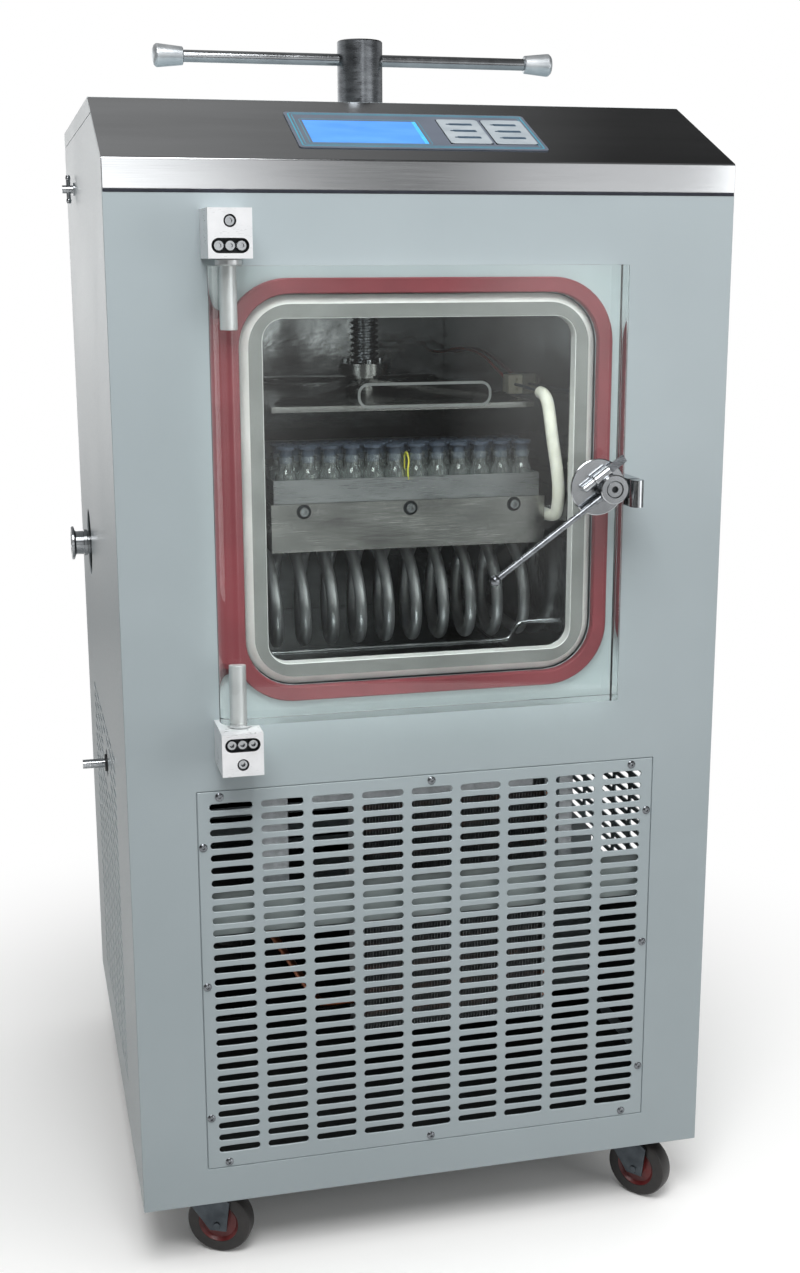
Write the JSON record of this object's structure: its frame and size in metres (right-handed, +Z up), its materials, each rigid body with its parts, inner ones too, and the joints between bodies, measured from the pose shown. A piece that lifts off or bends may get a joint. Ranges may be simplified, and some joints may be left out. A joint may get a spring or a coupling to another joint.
{
  "type": "freeze dryer",
  "caption": "Floor-standing freeze dryer with a clear hinged chamber door, a stoppering press worked by a T-handle, a shelf of vials, a cold coil and a vented machine bay on casters.",
  "frame": {"origin": "on the floor under the middle of the whole object's outline", "axes": "+Z up, the door faces -Y, +X to the right seen from the front, so the vacuum port points along -X"},
  "size_m": [0.627, 0.6958, 1.236],
  "materials": {
    "body_paint": "satin",
    "frame_paint": "satin",
    "inlet_plastic": "matte",
    "brushed_hood": "satin",
    "screw_steel": "gloss",
    "overlay_film": "satin",
    "key_film": "matte",
    "chamber_steel": "gloss",
    "flange_steel": "satin",
    "seal_rubber": "matte",
    "shelf_steel": "satin",
    "vial_glass": "gloss",
    "stopper_rubber": "matte",
    "coil_steel": "satin",
    "hose_silicone": "satin",
    "probe_plastic": "satin",
    "bright_aluminium": "satin",
    "pin_steel": "gloss",
    "clear_acrylic": "gloss",
    "latch_steel": "gloss",
    "press_steel": "satin",
    "handle_steel": "gloss",
    "port_steel": "satin",
    "compressor_paint": "satin",
    "fin_aluminium": "satin",
    "frame_black": "satin",
    "fan_plastic": "matte",
    "copper": "satin",
    "box_paint": "satin",
    "fork_paint": "satin",
    "wheel_rubber": "matte"
  },
  "bodies": {
    "cabinet": {"base_pan": "body_paint", "left_side_panel": "body_paint", "right_side_panel": "body_paint", "front_panel": "body_paint", "rear_panel": "body_paint", "top_cover": "body_paint", "front_grille": "body_paint", "inner_frame": "frame_paint", "power_inlet": "inlet_plastic", "control_hood": "brushed_hood", "grille_screws": "screw_steel", "control_overlay": "overlay_film", "chamber_box": "chamber_steel", "chamber_flange": "flange_steel", "door_seal": "seal_rubber", "shelf": "shelf_steel", "tray": "shelf_steel", "vials": "vial_glass", "stoppers": "stopper_rubber", "condenser_coil": "coil_steel", "defrost_pipe": "coil_steel", "shelf_hose": "hose_silicone", "temperature_probe": "probe_plastic", "hinge_block_upper": "bright_aluminium", "hinge_block_lower": "bright_aluminium", "cap_screws": "screw_steel", "latch_keeper": "latch_steel", "screw_nut": "press_steel", "vacuum_port": "port_steel", "drain_tube": "port_steel", "vent_valve": "port_steel", "compressor": "compressor_paint", "air_condenser": "fin_aluminium", "fan_shroud": "frame_black", "copper_pipes": "copper", "electric_box": "box_paint"},
    "door": {"door_plate": "clear_acrylic", "hinge_pins": "pin_steel", "latch_pivot": "latch_steel"},
    "latch": {"latch_hub": "latch_steel", "latch_lever": "latch_steel", "latch_bar": "latch_steel"},
    "press": {"press_head": "press_steel", "press_plate": "press_steel"},
    "spindle": {"lead_screw": "press_steel", "handle_head": "handle_steel", "handle_bar": "handle_steel", "handle_knobs": "bright_aluminium"},
    "valve": {"valve_handle": "port_steel"},
    "fan_wheel": {"fan": "fan_plastic"},
    "key_left": {"key_pad_left": "key_film"},
    "key_right": {"key_pad_right": "key_film"},
    "caster_front_left": {"caster_fork_front_left": "fork_paint"},
    "wheel_front_left": {"caster_wheel_front_left": "wheel_rubber"},
    "caster_front_right": {"caster_fork_front_right": "fork_paint"},
    "wheel_front_right": {"caster_wheel_front_right": "wheel_rubber"},
    "caster_rear_left": {"caster_fork_rear_left": "fork_paint"},
    "wheel_rear_left": {"caster_wheel_rear_left": "wheel_rubber"},
    "caster_rear_right": {"caster_fork_rear_right": "fork_paint"},
    "wheel_rear_right": {"caster_wheel_rear_right": "wheel_rubber"}
  },
  "joints": [
    {"name": "door_hinge", "type": "hinge", "parent": "cabinet", "child": "door", "pos_m": [-0.1805, -0.311, 0.8], "axis": [0, 0, -1], "range_deg": [0, 150]},
    {"name": "latch_turn", "type": "hinge", "parent": "door", "child": "latch", "pos_m": [0.1755, -0.339, 0.804], "axis": [0, 1, 0], "range_deg": [0, 70]},
    {"name": "press_slide", "type": "slide", "parent": "cabinet", "child": "press", "axis": [0, 0, -1], "range_m": [0, 0.0321]},
    {"name": "handle_turn", "type": "hinge", "parent": "press", "child": "spindle", "pos_m": [-0.0005, -0.041, 1.1], "axis": [0, 0, -1], "range_deg": [0, 1920]},
    {"name": "valve_turn", "type": "hinge", "parent": "cabinet", "child": "valve", "pos_m": [-0.2935, 0.166, 1.094], "axis": [-1, 0, 0], "range_deg": [0, 90]},
    {"name": "fan_spin", "type": "hinge", "parent": "cabinet", "child": "fan_wheel", "pos_m": [0.0555, -0.154, 0.345], "axis": [0, -1, 0], "continuous": true},
    {"name": "key_left_press", "type": "slide", "parent": "cabinet", "child": "key_left", "axis": [0, 0.3939, -0.9191], "range_m": [0, 0.0006], "stiffness_N_per_m": 600},
    {"name": "key_right_press", "type": "slide", "parent": "cabinet", "child": "key_right", "axis": [0, 0.3939, -0.9191], "range_m": [0, 0.0006], "stiffness_N_per_m": 600},
    {"name": "swivel_front_left", "type": "hinge", "parent": "cabinet", "child": "caster_front_left", "pos_m": [-0.2225, -0.238, 0.08], "axis": [0, 0, 1], "continuous": true},
    {"name": "roll_front_left", "type": "hinge", "parent": "caster_front_left", "child": "wheel_front_left", "pos_m": [-0.20437, -0.24645, 0.0345], "axis": [0.4226, 0.9063, 0], "continuous": true},
    {"name": "swivel_front_right", "type": "hinge", "parent": "cabinet", "child": "caster_front_right", "pos_m": [0.2495, -0.238, 0.08], "axis": [0, 0, 1], "continuous": true},
    {"name": "roll_front_right", "type": "hinge", "parent": "caster_front_right", "child": "wheel_front_right", "pos_m": [0.26236, -0.25332, 0.0345], "axis": [0.766, 0.6428, 0], "continuous": true},
    {"name": "swivel_rear_left", "type": "hinge", "parent": "cabinet", "child": "caster_rear_left", "pos_m": [-0.2225, 0.3, 0.08], "axis": [0, 0, 1], "continuous": true},
    {"name": "roll_rear_left", "type": "hinge", "parent": "caster_rear_left", "child": "wheel_rear_left", "pos_m": [-0.20371, 0.30684, 0.0345], "axis": [-0.342, 0.9397, 0], "continuous": true},
    {"name": "swivel_rear_right", "type": "hinge", "parent": "cabinet", "child": "caster_rear_right", "pos_m": [0.2495, 0.3, 0.08], "axis": [0, 0, 1], "continuous": true},
    {"name": "roll_rear_right", "type": "hinge", "parent": "caster_rear_right", "child": "wheel_rear_right", "pos_m": [0.26682, 0.29, 0.0345], "axis": [0.5, 0.866, 0], "continuous": true}
  ],
  "couplings": [
    {"joint": "press_slide", "follows": "handle_turn", "m_per_rad": 0.00095493}
  ]
}
